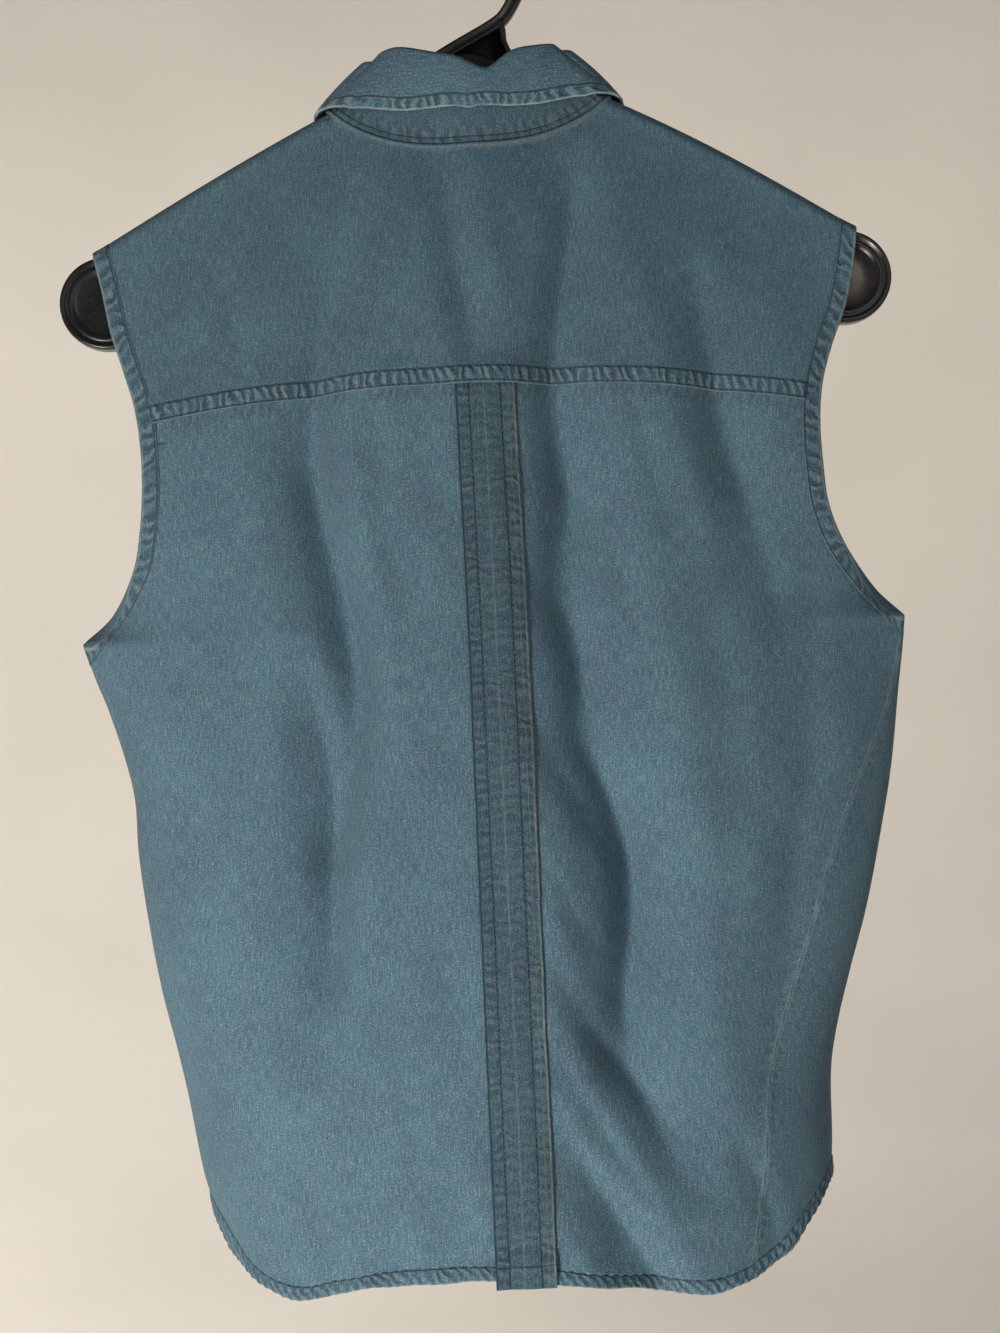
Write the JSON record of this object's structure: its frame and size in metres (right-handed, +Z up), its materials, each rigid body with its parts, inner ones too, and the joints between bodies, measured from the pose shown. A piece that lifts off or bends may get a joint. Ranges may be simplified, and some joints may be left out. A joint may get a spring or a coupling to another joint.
{
  "type": "sleeveless denim shirt on a plastic top hanger",
  "caption": "Sleeveless collared shirt in light denim, buttoned and hanging on a plastic top hanger with round ends, its back with a yoke and a stitched centre pleat.",
  "frame": {"origin": "inside top of the hanger's hook, where a rod bears", "axes": "+Z up, +Y out of the buttoned front, -Y out of the back with its yoke and pleat, +X towards the wearer's right as hung"},
  "size_m": [0.4609, 0.1539, 0.7505],
  "materials": {
    "denim": "washed light blue chambray denim",
    "worn_denim": "stitched and faded chambray denim edges",
    "button": "shell-like plastic",
    "black_plastic": "smooth moulded"
  },
  "bodies": {
    "root": {"yoke": "denim", "back_panel": "denim", "back_pleat": "worn_denim", "front_left": "denim", "front_right": "denim", "placket": "worn_denim", "collar_stand": "denim", "collar_leaf": "denim", "armhole_band_left": "worn_denim", "armhole_band_right": "worn_denim", "hem_back": "worn_denim", "hem_front_left": "worn_denim", "hem_front_right": "worn_denim", "button_1": "button", "button_2": "button", "button_3": "button", "button_4": "button", "button_5": "button", "button_6": "button", "button_7": "button", "collar_button": "button", "hanger": "black_plastic"}
  },
  "joints": []
}
